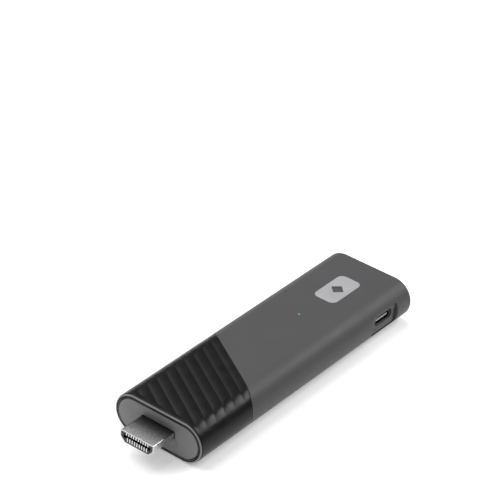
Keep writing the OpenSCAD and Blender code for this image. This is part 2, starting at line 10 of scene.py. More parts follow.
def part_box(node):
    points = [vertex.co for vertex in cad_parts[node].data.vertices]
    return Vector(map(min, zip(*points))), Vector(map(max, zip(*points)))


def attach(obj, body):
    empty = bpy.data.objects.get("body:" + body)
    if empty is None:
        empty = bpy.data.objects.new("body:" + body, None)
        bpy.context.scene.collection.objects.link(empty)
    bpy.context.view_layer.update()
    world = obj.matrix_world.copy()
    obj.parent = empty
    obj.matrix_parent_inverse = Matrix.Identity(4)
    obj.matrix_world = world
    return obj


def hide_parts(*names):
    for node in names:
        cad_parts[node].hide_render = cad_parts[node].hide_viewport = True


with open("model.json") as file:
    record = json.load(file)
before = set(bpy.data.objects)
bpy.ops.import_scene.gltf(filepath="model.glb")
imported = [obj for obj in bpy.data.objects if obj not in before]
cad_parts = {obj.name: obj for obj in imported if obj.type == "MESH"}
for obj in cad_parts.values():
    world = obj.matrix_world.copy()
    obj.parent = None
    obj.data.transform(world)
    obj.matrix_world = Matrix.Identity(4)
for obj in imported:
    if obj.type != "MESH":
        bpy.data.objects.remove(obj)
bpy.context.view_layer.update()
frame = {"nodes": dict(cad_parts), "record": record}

MM = 0.001
TAU = 2 * math.pi

# ---- places read from the frame ----

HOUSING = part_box("rear_housing")
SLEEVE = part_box("ribbed_sleeve")
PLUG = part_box("hdmi_plug_shell")
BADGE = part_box("badge_plate")
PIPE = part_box("light_pipe")
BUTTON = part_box("reset_button")
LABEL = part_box("rating_label")
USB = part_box("usb_shell")
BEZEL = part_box("port_bezel")
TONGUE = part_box("usb_tongue")


def centre_of(box):
    """The middle of a node's box, as (x, y, z)."""
    return tuple((low + high) / 2 for low, high in zip(*box))


def size_of(box):
    """The length, width and height of a node's box."""
    return tuple(high - low for low, high in zip(*box))


X_FRONT = SLEEVE[0].x
X_BACK = HOUSING[1].x
X_TIP = PLUG[0].x
HEIGHT = HOUSING[1].z
MID_Z = HEIGHT / 2
SIDE_Y = HOUSING[1].y
RADIUS = HEIGHT / 2
AXIS_Y = SIDE_Y - RADIUS

# The joint is slanted: the sleeve reaches furthest back on the +Y side, and the gap is measured along X
JOINT_GAP = 0.15 * MM
SLANT = math.tan(math.radians(31.8))
X_JOINT = SLEEVE[1].x + JOINT_GAP - SLANT * SIDE_Y

# ---- sizes of the mouldings ----

# Broken edges: how far each reaches in, and the share of that at which its middle ring lies
EDGE_MID = 0.3
EDGE = 0.12 * MM
PORT_EDGE = 0.14 * MM
RECESS_EDGE = 0.05 * MM
PLATE_EDGE = 0.16 * MM

WALL = 1.6 * MM
END_ROUND = 1.0 * MM
SLEEVE_WALL = 1.3 * MM
SPIGOT_GAP = 0.1 * MM
SPIGOT_WALL = 1.0 * MM
SPIGOT_FRONT = -8 * MM
SPIGOT_BACK = 4 * MM
GRID_START = -2 * MM

RIB_PITCH = 4.78 * MM
RIB_FIRST = 3.8 * MM
RIB_COUNT = 11
RIB_HEIGHT = 0.16 * MM
RIB_STEPS = 18
RIB_FADE_LOW = math.radians(34)
RIB_FADE_HIGH = math.radians(90)
RIB_FADE_FRONT = 1.2 * MM
RIB_FADE_JOINT = 0.8 * MM
LIP = 1.2 * MM
LIP_ROUND = 0.9 * MM

BEZEL_GAP = 0.45 * MM
BEZEL_LOWER_GAP = 0.25 * MM
BEZEL_PLATE = 0.8 * MM
PORT_L = 15.2 * MM
PORT_H = 9.0 * MM
PORT_ROUND = 2.6 * MM
PORT_X = centre_of(BEZEL)[0]
PORT_LOW = BEZEL[0].z - BEZEL_GAP
PORT_TOP = BEZEL[1].z + 0.05 * MM
PORT_FLOOR_Y = -AXIS_Y - 3.5 * MM
USB_Z = 8.7 * MM
SOCKET_L = 8.94 * MM
SOCKET_H = 3.26 * MM
SOCKET_WALL = 0.3 * MM
SLOT_L = 10.2 * MM
SLOT_H = 3.9 * MM
SLOT_Z = USB_Z + 0.1 * MM
CHANNEL_H = 3.7 * MM

BUTTON_L = 5.2 * MM
BUTTON_H = 2.2 * MM
BUTTON_PLAY = 0.12 * MM
BUTTON_HOLE_DEPTH = 3.4 * MM
BUTTON_CROWN = 0.3 * MM

BADGE_ROUND = 2.4 * MM
BADGE_FIT = 0.08 * MM
MARK_REACH = 2.6 * MM
MARK_ROUND = 0.15 * MM
PIPE_HOLE = 0.5 * MM
PIPE_TIP = 0.45 * MM
PIPE_ROD = 1.0 * MM
LABEL_ROUND = 1.3 * MM
LABEL_PLAY = 0.2 * MM
LABEL_DEPTH = 0.2 * MM

PLATE = 1.5 * MM
PLATE_INSET = SLEEVE_WALL + 0.35 * MM
COLLAR_WALL = 1.2 * MM
COLLAR_DEPTH = 3 * MM
PLUG_PLAY = 0.12 * MM
PLUG_HOLE_ROUND = 0.4 * MM
PLUG_WALL = 0.35 * MM
PLUG_ROUND = 0.55 * MM
PLUG_INNER_ROUND = 0.15 * MM
PLUG_TAPER_H = 2.0 * MM
PLUG_LOW_W = 10.0 * MM
MOUTH_ROLL = 0.12 * MM

FLOOR_GAP = 0.1 * MM
FLOOR_HALF = 3.0
FLOOR_STEPS = 24


# ---- mesh helpers ----

def finish_mesh(name, bm, sharp=32.0):
    """Turns a bmesh into an object with smooth faces and hard edges only where the surface really turns."""
    bmesh.ops.remove_doubles(bm, verts=bm.verts, dist=1e-7)
    bmesh.ops.recalc_face_normals(bm, faces=bm.faces)
    mesh = bpy.data.meshes.new(name)
    bm.to_mesh(mesh)
    bm.free()
    mesh.shade_smooth()
    mesh.set_sharp_from_angle(angle=math.radians(sharp))
    obj = bpy.data.objects.new(name, mesh)
    bpy.context.scene.collection.objects.link(obj)
    return obj


def bridge(bm, a, b):
    """Quads between two rings of the same length."""
    n = len(a)
    for i in range(n):
        j = (i + 1) % n
        corners = [a[i], a[j], b[j], b[i]]
        kept = [v for k, v in enumerate(corners) if v not in corners[:k]]
        if len(kept) > 2:
            bm.faces.new(kept)


def add_ring(bm, points):
    """New vertices at the points."""
    return [bm.verts.new(p) for p in points]


def loft(bm, rings, closed=False):
    """Skins a list of point rings; closed joins the last ring to the first, else both ends are capped."""
    made = [add_ring(bm, ring) for ring in rings]
    for a, b in zip(made, made[1:]):
        bridge(bm, a, b)
    if closed:
        bridge(bm, made[-1], made[0])
    else:
        bm.faces.new(made[0])
        bm.faces.new(made[-1])


def flat_ring(points, axis, level):
    """An outline's points set on the plane across one axis (0 for X, 1 for Y, 2 for Z) at a level."""
    return [Vector((*point[:axis], level, *point[axis:])) for point in points]


def combine(obj, other, operation):
    """Adds one closed mesh to another, or cuts it out, and removes the second."""
    mod = obj.modifiers.new("combine", "BOOLEAN")
    mod.operation = operation
    mod.solver = "EXACT"
    mod.object = other
    evaluated = obj.evaluated_get(bpy.context.evaluated_depsgraph_get())
    mesh = bpy.data.meshes.new_from_object(evaluated)
    obj.modifiers.remove(mod)
    old = obj.data
    obj.data = mesh
    mesh.name = obj.name
    bpy.data.meshes.remove(old)
    bpy.data.objects.remove(other)


# ---- outlines: each returns points round a closed line, counter-clockwise, in two coordinates ----

def arc(cx, cy, r, start, stop, steps):
    """Points of an arc in degrees, both ends included."""
    out = []
    for i in range(steps + 1):
        t = math.radians(start + (stop - start) * i / steps)
        out.append((cx + r * math.cos(t), cy + r * math.sin(t)))
    return out


def rounded_polygon(corners, radius, steps):
    """A polygon with each corner turned into an arc of the given radius."""
    out = []
    n = len(corners)
    for i in range(n):
        p = Vector(corners[i])
        to_prev = (Vector(corners[i - 1]) - p).normalized()
        to_next = (Vector(corners[(i + 1) % n]) - p).normalized()
        half = to_prev.angle(to_next) / 2
        centre = p + (to_prev + to_next).normalized() * (radius / math.sin(half))
        a = p + to_prev * (radius / math.tan(half)) - centre
        b = p + to_next * (radius / math.tan(half)) - centre
        turn = math.atan2(a.x * b.y - a.y * b.x, a.dot(b))
        first = math.atan2(a.y, a.x)
        for k in range(steps + 1):
            t = first + turn * k / steps
            out.append((centre.x + radius * math.cos(t), centre.y + radius * math.sin(t)))
    return out


def evenly(points, count):
    """The same closed line with evenly spaced points, starting at its far end along its first axis."""
    pts = [Vector(p) for p in points]
    n = len(pts)
    total = sum((pts[i] - pts[i - 1]).length for i in range(n))
    mid = sum(pts, Vector((0, 0))) / n
    first = max(range(n), key=lambda i: (pts[i] - mid).normalized().x)
    pts = pts[first:] + pts[:first]
    out = []
    walked = 0.0
    target = 0.0
    for i in range(n):
        a, b = pts[i], pts[(i + 1) % n]
        span = (b - a).length
        while target < walked + span - 1e-12 and len(out) < count:
            t = (target - walked) / span if span else 0
            out.append(tuple(a.lerp(b, t)))
            target += total / count
        walked += span
    return out


def spokes(count):
    """Unit directions evenly round a centre."""
    return [(math.cos(TAU * k / count), math.sin(TAU * k / count)) for k in range(count)]


def radial(points, cx, cy, directions):
    """Where rays from a centre cross a closed line round it, one for each direction."""
    out = []
    n = len(points)
    for dx, dy in directions:
        best = None
        for i in range(n):
            ax, ay = points[i][0] - cx, points[i][1] - cy
            bx, by = points[(i + 1) % n][0] - cx, points[(i + 1) % n][1] - cy
            ex, ey = bx - ax, by - ay
            det = dx * ey - dy * ex
            if abs(det) < 1e-18:
                continue
            t = (ax * ey - ay * ex) / det
            s = (ax * dy - ay * dx) / det
            if t > 0 and -1e-9 <= s <= 1 + 1e-9 and (best is None or t < best):
                best = t
        out.append((cx + dx * best, cy + dy * best))
    return out


def slot_outline(cx, cy, l, h):
    """A slot with full-round ends."""
    r = h / 2
    half = (l - h) / 2
    return arc(cx + half, cy, r, -90, 90, 24) + arc(cx - half, cy, r, 90, 270, 24)


def box_outline(cx, cy, l, w, r):
    """A rectangle with rounded corners."""
    corners = [(cx + l / 2, cy - w / 2), (cx + l / 2, cy + w / 2),
               (cx - l / 2, cy + w / 2), (cx - l / 2, cy - w / 2)]
    return rounded_polygon(corners, r, 10)


# ---- the housing's section ----

def section_samples(arc_steps, flat_steps):
    """Stations (foot y, normal y, normal z) round the section, from the middle of the -Y side over the top."""
    out = []
    for k in range(arc_steps // 2):
        t = math.pi / 2 * k / (arc_steps // 2)
        out.append((-AXIS_Y, -math.cos(t), math.sin(t)))
    for k in range(flat_steps):
        out.append((-AXIS_Y + 2 * AXIS_Y * k / flat_steps, 0.0, 1.0))
    for k in range(arc_steps):
        t = math.pi / 2 - math.pi * k / arc_steps
        out.append((AXIS_Y, math.cos(t), math.sin(t)))
    for k in range(flat_steps):
        out.append((AXIS_Y - 2 * AXIS_Y * k / flat_steps, 0.0, -1.0))
    for k in range(arc_steps // 2):
        t = -math.pi / 2 + math.pi / 2 * k / (arc_steps // 2)
        out.append((-AXIS_Y, -math.cos(t), math.sin(t)))
    return out


def on_section(sample, inset):
    """The point (y, z) of the section at a station, pulled in by inset."""
    foot, ny, nz = sample
    return foot + ny * (RADIUS - inset), MID_Z + nz * (RADIUS - inset)


def section_ring(samples, x, inset):
    """A ring of the section at one x."""
    return [Vector((x, *on_section(s, inset))) for s in samples]


def slanted_ring(samples, from_joint, inset):
    """A ring of the section on a plane parallel to the joint."""
    out = []
    for s in samples:
        y, z = on_section(s, inset)
        out.append(Vector((X_JOINT + from_joint + SLANT * y, y, z)))
    return out


def end_ring(samples, x_end, inward, radius, t):
    """A ring of a rounded end: at t = 0 it lies on the side, and after a quarter turn on the end face."""
    return section_ring(samples, x_end + inward * radius * (1 - math.sin(t)), radius * (1 - math.cos(t)))


# ---- ribbed sleeve ----

def smooth(t):
    """0 up to 0 and 1 from 1 on, with a soft rise between."""
    t = min(1.0, max(0.0, t))
    return t * t * (3 - 2 * t)


def rib_profile(p):
    """Height of one rib across its pitch: a low cushion, 0 in the sharp valleys at p = 0 and 1."""
    return 1 - (2 * p - 1) ** 2


def rib_reach(sample):
    """How far the ribs stand at a station: full over the top, dying out down the shoulders, none beneath."""
    _, ny, nz = sample
    lean = math.atan2(nz, abs(ny))
    return smooth((lean - RIB_FADE_LOW) / (RIB_FADE_HIGH - RIB_FADE_LOW))


def sleeve_row(sample):
    """One lengthwise row of the sleeve's outside, from the front lip to the joint, as (x, y, z) points."""
    slant = SLANT * on_section(sample, 0)[0]
    start = X_FRONT + LIP
    stop = X_JOINT - JOINT_GAP + slant - 2 * EDGE
    reach = rib_reach(sample)
    row = []
    for i in range(RIB_COUNT - 1, -2, -1):
        for k in range(RIB_STEPS):
            p = k / RIB_STEPS
            x = X_JOINT - RIB_FIRST - i * RIB_PITCH + slant - RIB_PITCH + p * RIB_PITCH
            x = min(max(x, start), stop)
            near = smooth((x - start) / RIB_FADE_FRONT) * smooth((stop - x) / RIB_FADE_JOINT)
            drop = RIB_HEIGHT * reach * near * (1 - rib_profile(p))
            row.append(Vector((x, *on_section(sample, drop))))
    return row


def build_sleeve():
    """The glossy front sleeve with its diagonal ribs, rolled front lip and slanted rear edge."""
    samples = section_samples(96, 84)
    rows = [sleeve_row(s) for s in samples]
    rings = [slanted_ring(samples, -JOINT_GAP, SLEEVE_WALL),
             section_ring(samples, X_FRONT + 3 * MM, SLEEVE_WALL),
             section_ring(samples, X_FRONT + EDGE, SLEEVE_WALL),
             section_ring(samples, X_FRONT, SLEEVE_WALL - EDGE)]
    steps = 8
    for k in range(steps + 1):
        rings.append(end_ring(samples, X_FRONT, 1, LIP_ROUND, math.pi / 2 * (1 - k / steps)))
    for k in range(len(rows[0])):
        rings.append([row[k] for row in rows])
    rings.append(slanted_ring(samples, -JOINT_GAP - EDGE, 0))
    rings.append(slanted_ring(samples, -JOINT_GAP - EDGE * EDGE_MID, EDGE * EDGE_MID))
    rings.append(slanted_ring(samples, -JOINT_GAP, EDGE))
    bm = bmesh.new()
    loft(bm, rings, closed=True)
    return finish_mesh("sleeve_moulding", bm, 40)


# ---- housing ----

def side_y_at(z):
    """Distance of the rounded side from the centre plane at a height."""
    return AXIS_Y + math.sqrt(max(0.0, RADIUS ** 2 - (z - MID_Z) ** 2))


def housing_columns():
    """Positions along X of the housing's straight grid."""
    stop = X_BACK - END_ROUND
    count = 130
    return [GRID_START + (stop - GRID_START) * i / count for i in range(count + 1)]


def boundary_of(bm, faces):
    """The ordered ring of vertices round a block of faces."""
    faces = set(faces)
    nxt = {}
    for f in faces:
        for loop in f.loops:
            other = [g for g in loop.edge.link_faces if g is not f]
            if not other or other[0] not in faces:
                nxt[loop.vert] = loop.link_loop_next.vert
    first = next(iter(nxt))
    ring = [first]
    v = nxt[first]
    while v is not first:
        ring.append(v)
        v = nxt[v]
    return ring


def cut_feature(bm, x0, x1, keep, local, centre, rings):
    """Takes the grid faces whose middles lie in a window and refills it with rings and a flat floor.

    keep says which faces between x0 and x1 go, local turns a vertex into the window's two coordinates, and
    each ring is (outline points, placing function)."""
    picked = []
    for f in bm.faces:
        c = f.calc_center_median()
        if x0 < c.x < x1 and keep(c):
            picked.append(f)
    loop = boundary_of(bm, picked)
    inner = {v for f in picked for v in f.verts} - set(loop)
    bmesh.ops.delete(bm, geom=picked, context="FACES_ONLY")
    for v in inner:
        bm.verts.remove(v)
    for e in [e for e in bm.edges if not e.link_faces]:
        bm.edges.remove(e)
    aim = []
    for v in loop:
        px, py = local(v.co)
        d = Vector((px - centre[0], py - centre[1])).normalized()
        aim.append((d.x, d.y))
    last = loop
    for outline, place in rings:
        ring = add_ring(bm, [place(a, b) for a, b in radial(outline, *centre, aim)])
        bridge(bm, last, ring)
        last = ring
    bm.faces.new(last)


def hole_rings(outline, at, bottom, edge, blend):
    """Rings of a hole with a finely broken edge, from the line where it meets the grid to its floor."""
    mid = edge * EDGE_MID
    return [(outline(blend), at(0)), (outline(edge), at(0)), (outline(mid), at(mid)),
            (outline(0), at(edge)), (outline(0), bottom)]


def port_outline(grow, top):
    """The side opening's outline: a rounded rectangle cut off level at its top."""
    r = PORT_ROUND + grow
    half = PORT_L / 2 - PORT_ROUND
    low = PORT_LOW + PORT_ROUND
    high = PORT_LOW + PORT_H - PORT_ROUND
    t = math.degrees(math.asin((top - high) / r))
    return (arc(PORT_X - half, low, r, 180, 270, 16) + arc(PORT_X + half, low, r, 270, 360, 16)
            + arc(PORT_X + half, high, r, 0, t, 8) + arc(PORT_X - half, high, r, 180 - t, 180, 8))


def cut_port(bm):
    """The opening in the rounded side for the port bezel."""
    margin = 1.0 * MM
    above = 1.1 * MM

    def at(depth):
        return lambda x, z: Vector((x, -side_y_at(z) + depth, z))

    def outline(grow):
        return port_outline(grow, PORT_TOP + grow)

    def bottom(x, z):
        return Vector((x, PORT_FLOOR_Y, z))

    def inside(c):
        return c.y < -AXIS_Y and PORT_LOW - margin < c.z < PORT_TOP + above

    reach = PORT_L / 2 + margin
    cut_feature(bm, PORT_X - reach, PORT_X + reach, inside, lambda co: (co.x, co.z),
                (PORT_X, PORT_LOW + PORT_H / 2), hole_rings(outline, at, bottom, PORT_EDGE, 0.5 * MM))


def cut_button_hole(bm):
    """The reset button's hole in the +Y side."""
    cx, _, cz = centre_of(BUTTON)
    reach_x = 3.6 * MM
    reach_z = 2.1 * MM

    def at(depth):
        return lambda x, z: Vector((x, side_y_at(z) - depth, z))

    def outline(grow):
        grow += BUTTON_PLAY
        return slot_outline(cx, cz, BUTTON_L + 2 * grow, BUTTON_H + 2 * grow)

    def inside(c):
        return c.y > AXIS_Y and abs(c.z - cz) < reach_z

    cut_feature(bm, cx - reach_x, cx + reach_x, inside, lambda co: (co.x, co.z), (cx, cz),
                hole_rings(outline, at, at(BUTTON_HOLE_DEPTH), PORT_EDGE, 0.3 * MM))


def cut_flat_recess(bm, top, outline, depth, centre, reach):
    """A blind recess in the flat top (or underside); reach is the half length and width of its window."""
    level = HEIGHT if top else 0.0
    inward = -1 if top else 1

    def at(down):
        return lambda x, y: Vector((x, y, level + inward * down))

    def inside(c):
        return abs(c.y - centre[1]) < reach[1] and abs(c.z - level) < 1e-6

    cut_feature(bm, centre[0] - reach[0], centre[0] + reach[0], inside, lambda co: (co.x, co.y), centre,
                hole_rings(outline, at, at(depth), RECESS_EDGE, 3 * RECESS_EDGE))


def cut_badge_recess(bm):
    """The badge's seat in the top."""
    cx, cy, _ = centre_of(BADGE)
    l, w, _ = size_of(BADGE)

    def outline(grow):
        grow += BADGE_FIT
        return box_outline(cx, cy, l + 2 * grow, w + 2 * grow, BADGE_ROUND + grow)

    cut_flat_recess(bm, True, outline, HEIGHT - BADGE[0].z, (cx, cy), (10 * MM, 6 * MM))


def cut_light_hole(bm):
    """The light pipe's hole in the top."""
    cx, cy, _ = centre_of(PIPE)

    def outline(grow):
        return arc(cx, cy, PIPE_HOLE + grow, 0, 345, 23)

    cut_flat_recess(bm, True, outline, 2.4 * MM, (cx, cy), (1.4 * MM, 1.4 * MM))


def cut_label_recess(bm):
    """The shallow bed for the label in the underside."""
    cx = centre_of(LABEL)[0]
    l, w, _ = size_of(LABEL)

    def outline(grow):
        grow += LABEL_PLAY
        return box_outline(cx, 0, l + 2 * grow, w + 2 * grow, LABEL_ROUND + grow)

    cut_flat_recess(bm, False, outline, LABEL_DEPTH, (cx, 0), (18.2 * MM, 9.3 * MM))


def housing_skin(samples):
    """The closed outside of the housing, with its slanted front face and rounded far end."""
    rings = [slanted_ring(samples, 0, EDGE), slanted_ring(samples, EDGE * EDGE_MID, EDGE * EDGE_MID),
             slanted_ring(samples, EDGE, 0)]
    columns = housing_columns()
    steps = 40
    for k in range(1, steps):
        ring = []
        for s in samples:
            y, z = on_section(s, 0)
            x0 = X_JOINT + EDGE + SLANT * y
            ring.append(Vector((x0 + (columns[0] - x0) * k / steps, y, z)))
        rings.append(ring)
    rings += [section_ring(samples, x, 0) for x in columns]
    steps = 10
    for k in range(1, steps + 1):
        rings.append(end_ring(samples, X_BACK, -1, END_ROUND, math.pi / 2 * k / steps))
    bm = bmesh.new()
    loft(bm, rings)
    return bm


def cavity_block():
    """The space inside the housing, as a solid."""
    samples = section_samples(48, 20)
    bm = bmesh.new()
    loft(bm, [section_ring(samples, X_FRONT, WALL), section_ring(samples, X_BACK - WALL, WALL)])
    return finish_mesh("cavity", bm)


def channel_block():
    """The channel along the inside of the wall through which the socket slides in, as a solid."""
    y = USB[0].y - 0.05 * MM
    low = USB_Z - CHANNEL_H / 2
    high = USB_Z + CHANNEL_H / 2
    corners = [(y, low), (y, high), (-AXIS_Y, high), (-AXIS_Y, low)]
    bm = bmesh.new()
    loft(bm, [flat_ring(corners, 0, x) for x in (X_FRONT, PORT_X)])
    return finish_mesh("channel", bm)


def build_housing():
    """The matte rear housing: its skin, port, button hole and recesses, then the hollow inside."""
    bm = housing_skin(section_samples(64, 44))
    cut_port(bm)
    cut_button_hole(bm)
    cut_badge_recess(bm)
    cut_light_hole(bm)
    cut_label_recess(bm)
    sharp = 28
    housing = finish_mesh("housing_moulding", bm, sharp)
    combine(housing, cavity_block(), "DIFFERENCE")
    combine(housing, channel_block(), "DIFFERENCE")
    housing.data.set_sharp_from_angle(angle=math.radians(sharp))
    return housing


def build_spigot():
    """The housing's spigot, which carries the sleeve."""
    samples = section_samples(64, 30)
    root = WALL + 0.01 * MM
    outer = SLEEVE_WALL + SPIGOT_GAP
    inner = outer + SPIGOT_WALL
    bm = bmesh.new()
    loft(bm, [slanted_ring(samples, SPIGOT_BACK, root), slanted_ring(samples, 0.1 * MM, root),
              slanted_ring(samples, 0.05 * MM, outer), slanted_ring(samples, SPIGOT_FRONT + EDGE, outer),
              slanted_ring(samples, SPIGOT_FRONT, outer + EDGE), slanted_ring(samples, SPIGOT_FRONT, inner),
              slanted_ring(samples, SPIGOT_BACK, inner)], closed=True)
    return finish_mesh("housing_spigot", bm)


# ---- end plate ----

def build_end_plate():
    """The flush end plate with its fine edges, plug opening and the collar behind it."""
    n = 240

    def stadium(inset, x):
        r = RADIUS - inset
        points = arc(AXIS_Y, MID_Z, r, -90, 90, 48) + arc(-AXIS_Y, MID_Z, r, 90, 270, 48)
        return flat_ring(evenly(points, n), 0, x)

    def plug_hole(grow, x):
        grow += PLUG_PLAY
        return flat_ring(evenly(plug_outline(-grow, PLUG_HOLE_ROUND + grow), n), 0, x)

    def collar(x):
        _, w, h = size_of(PLUG)
        points = box_outline(0, MID_Z, w + 2 * COLLAR_WALL, h + 2 * COLLAR_WALL, PLUG_HOLE_ROUND)
        return flat_ring(evenly(points, n), 0, x)

    edge = PLATE_EDGE
    mid = edge * EDGE_MID
    back = X_FRONT + PLATE
    rings = [plug_hole(edge, X_FRONT), plug_hole(mid, X_FRONT + mid),
             plug_hole(0, X_FRONT + edge), plug_hole(0, back + COLLAR_DEPTH),
             collar(back + COLLAR_DEPTH), collar(back),
             stadium(PLATE_INSET, back), stadium(PLATE_INSET, X_FRONT + edge),
             stadium(PLATE_INSET + mid, X_FRONT + mid), stadium(PLATE_INSET + edge, X_FRONT)]
    bm = bmesh.new()
    loft(bm, rings, closed=True)
    return finish_mesh("end_plate", bm, 25)


# ---- HDMI plug ----

def plug_outline(inset, radius):
    """The plug's section, wide side up, with rounded corners."""
    half = size_of(PLUG)[1] / 2 - inset
    top = PLUG[1].z - inset
    low = PLUG[0].z + inset
    knee = PLUG[0].z + PLUG_TAPER_H + inset * 0.4
    low_half = PLUG_LOW_W / 2 - inset * 0.4
    corners = [(half, knee), (half, top), (-half, top), (-half, knee), (-low_half, low), (low_half, low)]
    return rounded_polygon(corners, radius, 6)


def build_plug_shell():
    """The drawn plug shell with rounded corners and a rolled mouth."""
    n = 168
    back = X_FRONT + 5 * MM
    mouth = X_TIP + MOUTH_ROLL
    behind_mouth = X_TIP + 1.4 * MOUTH_ROLL

    def ring(inset, x):
        outline = plug_outline(inset, max(PLUG_INNER_ROUND, PLUG_ROUND - inset))
        return flat_ring(evenly(outline, n), 0, x)

    rings = [ring(PLUG_WALL, back), ring(PLUG_WALL, behind_mouth), ring(PLUG_WALL, mouth)]
    steps = 6
    for k in range(1, steps):
        t = math.pi * k / steps
        rings.append(ring(PLUG_WALL * (1 + math.cos(t)) / 2, mouth - MOUTH_ROLL * math.sin(t)))
    rings += [ring(0, mouth), ring(0, behind_mouth), ring(0, X_FRONT - 1 * MM), ring(0, back)]
    bm = bmesh.new()
    loft(bm, rings, closed=True)
    return finish_mesh("plug_shell", bm, 30)


# ---- small pieces ----

def build_badge():
    """The badge plate with a softened edge and a plain diamond window."""
    cx, cy, _ = centre_of(BADGE)
    l, w, _ = size_of(BADGE)
    low = BADGE[0].z
    top = BADGE[1].z
    edge = 0.08 * MM
    mid = edge * EDGE_MID
    aim = spokes(180)

    def plate(inset, z):
        outline = box_outline(cx, cy, l - 2 * inset, w - 2 * inset, BADGE_ROUND - inset)
        return flat_ring(radial(outline, cx, cy, aim), 2, z)

    def mark(grow, z):
        r = MARK_REACH + math.sqrt(2) * grow
        corners = [(cx + r * dx, cy + r * dy) for dx, dy in spokes(4)]
        return flat_ring(radial(rounded_polygon(corners, MARK_ROUND + grow, 8), cx, cy, aim), 2, z)

    rings = [plate(0, low), plate(0, top - edge), plate(mid, top - mid), plate(edge, top),
             mark(edge, top), mark(mid, top - mid), mark(0, top - edge), mark(0, low)]
    bm = bmesh.new()
    loft(bm, rings, closed=True)
    return finish_mesh("badge_inlay", bm, 25)


def build_light_pipe():
    """The turned light pipe, domed at its tip."""
    cx, cy, _ = centre_of(PIPE)
    flange = size_of(PIPE)[0] / 2
    low = PIPE[0].z
    top = PIPE[1].z
    shoulder = top - WALL
    beneath = shoulder - 0.5 * MM
    profile = [(PIPE_ROD, low), (PIPE_ROD, beneath), (flange, beneath), (flange, shoulder),
               (PIPE_TIP, shoulder), (PIPE_TIP, top - 0.1 * MM), (PIPE_TIP * 0.9, top - 0.04 * MM),
               (PIPE_TIP * 0.5, top - 0.005 * MM)]
    bm = bmesh.new()
    loft(bm, [flat_ring(arc(cx, cy, r, 0, 352.5, 47), 2, z) for r, z in profile])
    return finish_mesh("light_window", bm, 30)


def build_button():
    """The reset button: a softly domed cap on a stem, with a flange inside the wall."""
    cx, _, cz = centre_of(BUTTON)
    flange_l, _, flange_h = size_of(BUTTON)
    back = BUTTON[0].y
    face = BUTTON[1].y
    seat = back + 0.55 * MM
    rim = face - 0.35 * MM

    def ring(l, h, y):
        return flat_ring(evenly(slot_outline(cx, cz, l, h), 96), 1, y)

    rings = [ring(flange_l, flange_h, back), ring(flange_l, flange_h, seat), ring(BUTTON_L, BUTTON_H, seat),
             ring(BUTTON_L, BUTTON_H, rim)]
    steps = 6
    for k in range(1, steps + 1):
        t = math.pi / 2 * k / steps
        pull = 2 * BUTTON_CROWN * (1 - math.cos(t))
        rings.append(ring(BUTTON_L - pull, BUTTON_H - pull, rim + BUTTON_CROWN * math.sin(t)))
    rings.append(ring(BUTTON_L * 0.5, BUTTON_H * 0.35, face))
    bm = bmesh.new()
    loft(bm, rings)
    return finish_mesh("reset_key", bm, 35)


def build_label():
    """The blank label under the housing, with softened corners."""
    cx, cy, _ = centre_of(LABEL)
    l, w, _ = size_of(LABEL)
    low = LABEL[0].z
    edge = 0.03 * MM

    def ring(inset, z):
        return flat_ring(box_outline(cx, cy, l - 2 * inset, w - 2 * inset, LABEL_ROUND - inset), 2, z)

    bm = bmesh.new()
    loft(bm, [ring(0, LABEL[1].z), ring(0, low + edge), ring(edge, low)])
    return finish_mesh("label_film", bm, 35)


def bezel_leg(face, end):
    """One hooked leg behind the bezel, at its -X (-1) or +X (1) end."""
    reach = PORT_L / 2 - BEZEL_GAP
    inner = reach - 0.9 * MM
    outer = reach - 0.01 * MM
    hook_x = reach + BEZEL_GAP + 0.3 * MM
    root = face + BEZEL_PLATE / 2
    hook_y = face + 0.85 * MM
    tip = hook_y + 0.95 * MM
    low = 8.4 * MM
    high = low + 1.2 * MM
    leg = [(inner, root), (outer, root), (outer, hook_y), (hook_x, hook_y), (reach, tip), (inner, tip)]
    bm = bmesh.new()
    loft(bm, [flat_ring([(PORT_X + end * x, y) for x, y in leg], 2, z) for z in (low, high)])
    return finish_mesh("leg", bm)


def build_port_bezel():
    """The flat bezel round the socket, with softened edges and a hooked leg at each end."""
    aim = spokes(240)
    face = BEZEL[0].y
    back = face + BEZEL_PLATE
    mid = EDGE * EDGE_MID
    sharp = 28

    def rim(inset, y):
        outline = port_outline(-BEZEL_GAP - inset, BEZEL[1].z - inset)
        floor = BEZEL[0].z + BEZEL_LOWER_GAP + inset
        points = [(x, max(z, floor)) for x, z in radial(outline, PORT_X, SLOT_Z, aim)]
        return flat_ring(points, 1, y)

    def hole(grow, y):
        outline = slot_outline(PORT_X, SLOT_Z, SLOT_L + 2 * grow, SLOT_H + 2 * grow)
        return flat_ring(radial(outline, PORT_X, SLOT_Z, aim), 1, y)

    rings = [rim(0, back), rim(0, face + EDGE), rim(mid, face + mid), rim(EDGE, face),
             hole(EDGE, face), hole(mid, face + mid), hole(0, face + EDGE), hole(0, back)]
    bm = bmesh.new()
    loft(bm, rings, closed=True)
    bezel = finish_mesh("port_surround", bm, sharp)
    for end in (-1, 1):
        combine(bezel, bezel_leg(face, end), "UNION")
    bezel.data.set_sharp_from_angle(angle=math.radians(sharp))
    return bezel


def add_socket_feet(bm, mouth, back):
    """The four small feet that hold the socket to the board."""
    wing = 1.0 * MM
    deep = 1.2 * MM
    low = MID_Z + 0.5 * MM
    for side in (-1, 1):
        x = PORT_X + side * (SOCKET_L / 2 + wing / 2 - 0.2 * MM)
        for y in (mouth + 2.4 * MM, back - 1.6 * MM):
            foot = [(x - wing / 2, y), (x + wing / 2, y), (x + wing / 2, y + deep), (x - wing / 2, y + deep)]
            loft(bm, [flat_ring(foot, 2, z) for z in (low, low + SOCKET_WALL)])


